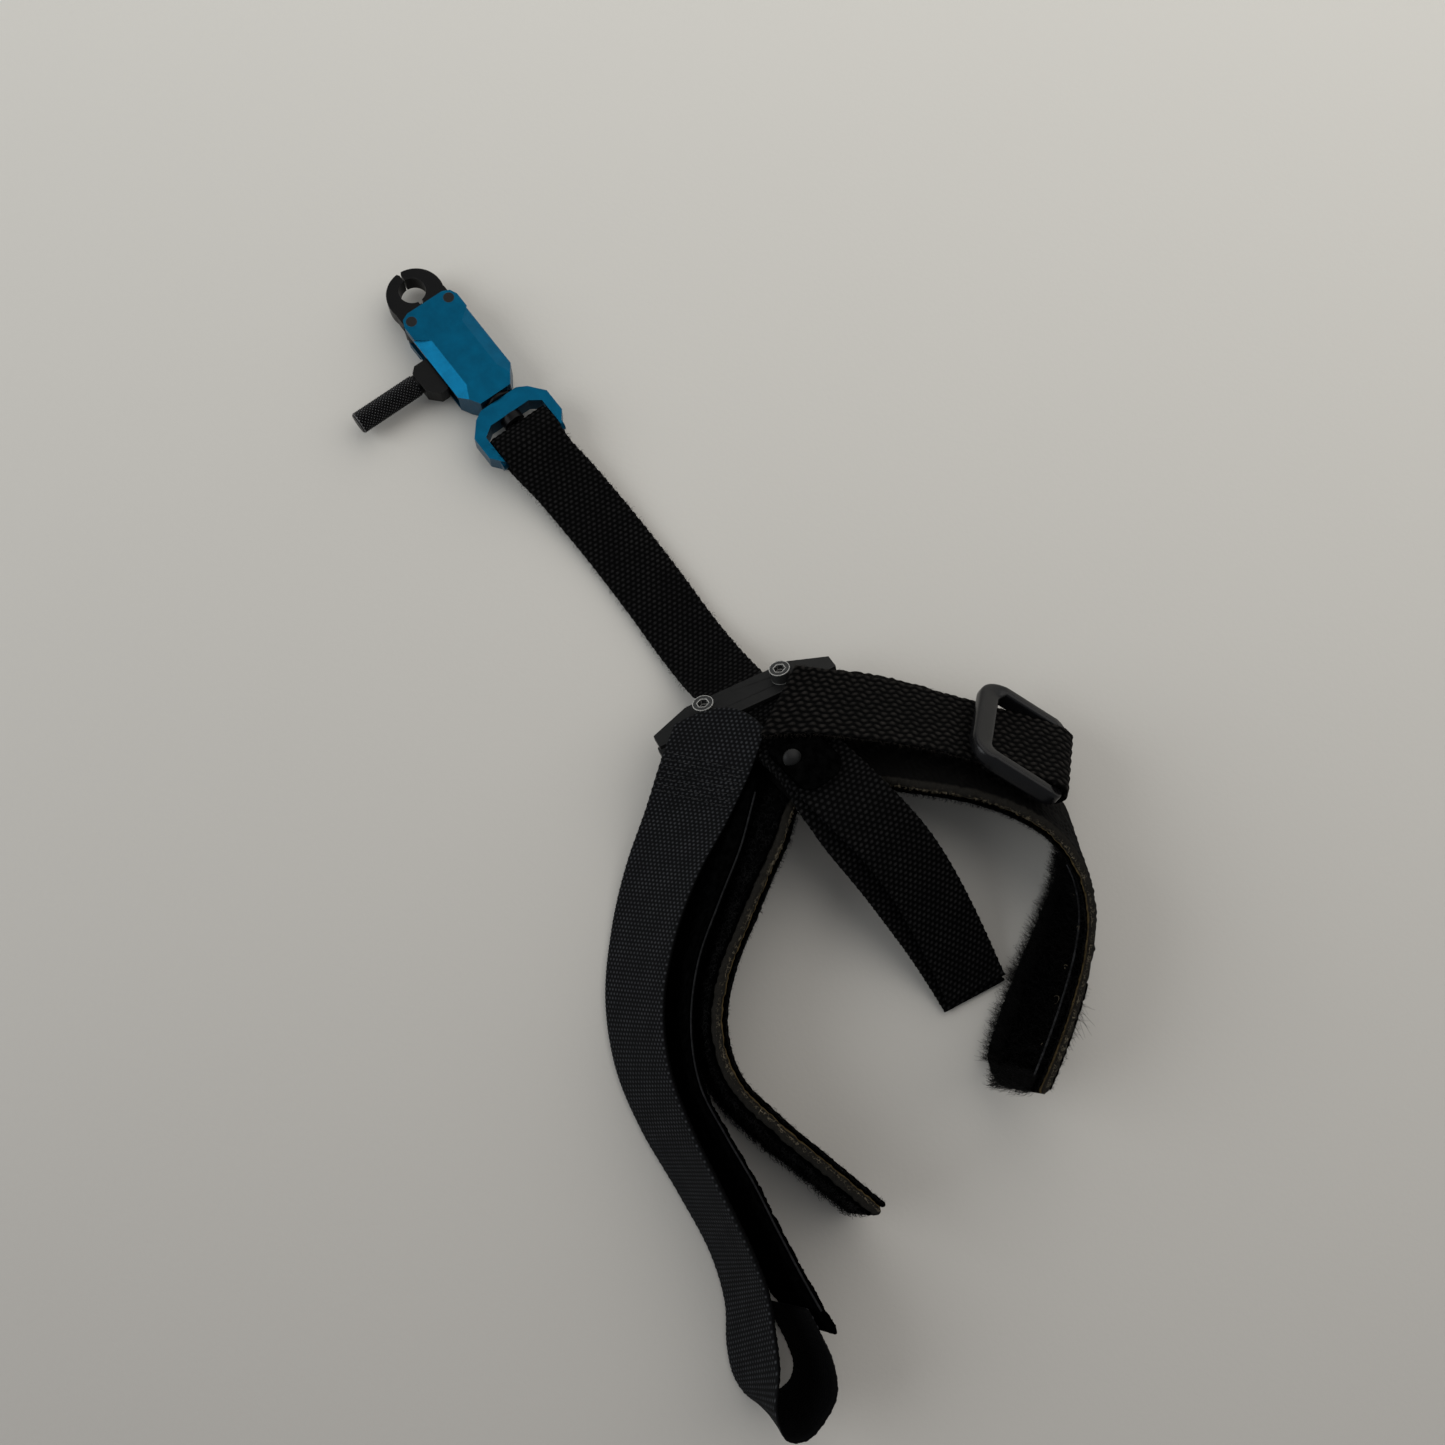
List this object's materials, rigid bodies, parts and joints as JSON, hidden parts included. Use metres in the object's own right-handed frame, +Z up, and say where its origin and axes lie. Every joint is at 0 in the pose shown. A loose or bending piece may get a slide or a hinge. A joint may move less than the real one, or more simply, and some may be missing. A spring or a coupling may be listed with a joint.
{
  "type": "archery release aid",
  "caption": "Archery release aid with twin opening jaws, side trigger post, swivel strap loop, webbing connector, screwed clamp and leather wrist cuff with a ring and hook tape closure.",
  "frame": {"origin": "centre of the string hole between the closed jaws", "axes": "+X forward along the head and the connector strap, +Y to the trigger side, +Z up out of the surface that the release lies on"},
  "size_m": [0.3177, 0.1758, 0.039],
  "materials": {
    "anodised_blue": "satin anodised",
    "black_steel": "satin black oxide",
    "steel": "ground",
    "spring_steel": "drawn wire",
    "bronze": "plain",
    "webbing": "ribbed nylon webbing",
    "coarse_webbing": "coarse worn webbing",
    "hook_strap": "woven hook tape",
    "loop_pile": "loop pile tape",
    "leather": "worn split leather",
    "plush": "plush pile",
    "black_plastic": "semi-gloss"
  },
  "bodies": {
    "cuff": {"connector_grip": "webbing", "tail_root": "webbing", "clamp_plate": "black_steel", "clamp_base": "black_steel", "clamp_screws": "black_steel", "cuff_leather": "leather", "cuff_lining": "plush", "tongue_root": "hook_strap", "loop_strap": "loop_pile", "rivet_tab": "leather", "rivet": "black_steel", "buckle_webbing": "coarse_webbing", "buckle_fold": "coarse_webbing"},
    "tongue": {"tongue_strap": "hook_strap"},
    "tail": {"connector_tail": "webbing"},
    "connector": {"connector_fold": "webbing", "connector_webbing": "webbing"},
    "loop": {"strap_loop": "anodised_blue", "swivel_bush": "bronze"},
    "head": {"head_body": "anodised_blue", "jaw_pins": "black_steel", "jaw_spring": "spring_steel", "trigger_pin": "steel", "trigger_spring": "spring_steel", "travel_screw": "black_steel", "swivel_bolt": "black_steel", "swivel_washer": "black_steel"},
    "trigger": {"trigger_lever": "black_steel", "trigger_post": "black_steel", "trigger_stud": "steel", "sear_roller": "steel", "roller_pin": "steel"},
    "jaw_left": {"jaw_left": "black_steel"},
    "jaw_right": {"jaw_right": "black_steel"},
    "ring": {"buckle_ring": "black_plastic"}
  },
  "joints": [
    {"name": "connector_flex", "type": "hinge", "parent": "cuff", "child": "connector", "pos_m": [-0.1508, 0, 0.00518], "axis": [0, -0.9903, -0.1388], "range_deg": [-30, 55]},
    {"name": "loop_tilt", "type": "hinge", "parent": "connector", "child": "loop", "pos_m": [-0.058, 0, 0], "axis": [0, -1, 0], "range_deg": [-50, 50]},
    {"name": "head_swivel", "type": "hinge", "parent": "loop", "child": "head", "pos_m": [-0.0427, 0, 0], "axis": [1, 0, 0], "continuous": true},
    {"name": "trigger_pull", "type": "hinge", "parent": "head", "child": "trigger", "pos_m": [-0.023, -0.0054, 0], "axis": [0, 0, 1], "range_deg": [0, 10], "stiffness_Nm_per_rad": 0.03, "springref_deg": -5.73},
    {"name": "jaw_left_open", "type": "hinge", "parent": "head", "child": "jaw_left", "pos_m": [-0.0097, 0.0065, 0], "axis": [0, 0, 1], "range_deg": [0, 9.2]},
    {"name": "jaw_right_open", "type": "hinge", "parent": "head", "child": "jaw_right", "pos_m": [-0.0097, -0.0065, 0], "axis": [0, 0, -1], "range_deg": [0, 9.2]},
    {"name": "ring_flip", "type": "hinge", "parent": "cuff", "child": "ring", "pos_m": [-0.222, -0.0545, 0.0155], "axis": [0.435, -0.6571, -0.6157], "range_deg": [0, 120]},
    {"name": "tongue_lift", "type": "hinge", "parent": "cuff", "child": "tongue", "pos_m": [-0.1738, 0.0324, 0.0092], "axis": [0.6775, 0.5416, -0.4976], "range_deg": [0, 30]},
    {"name": "tail_lift", "type": "hinge", "parent": "cuff", "child": "tail", "pos_m": [-0.1917, -0.002, 0.0235], "axis": [0.014, 0.9997, 0.02], "range_deg": [0, 35]}
  ],
  "couplings": [
    {"joint": "jaw_left_open", "follows": "trigger_pull", "ratio": 0.9},
    {"joint": "jaw_right_open", "follows": "trigger_pull", "ratio": 0.9}
  ]
}
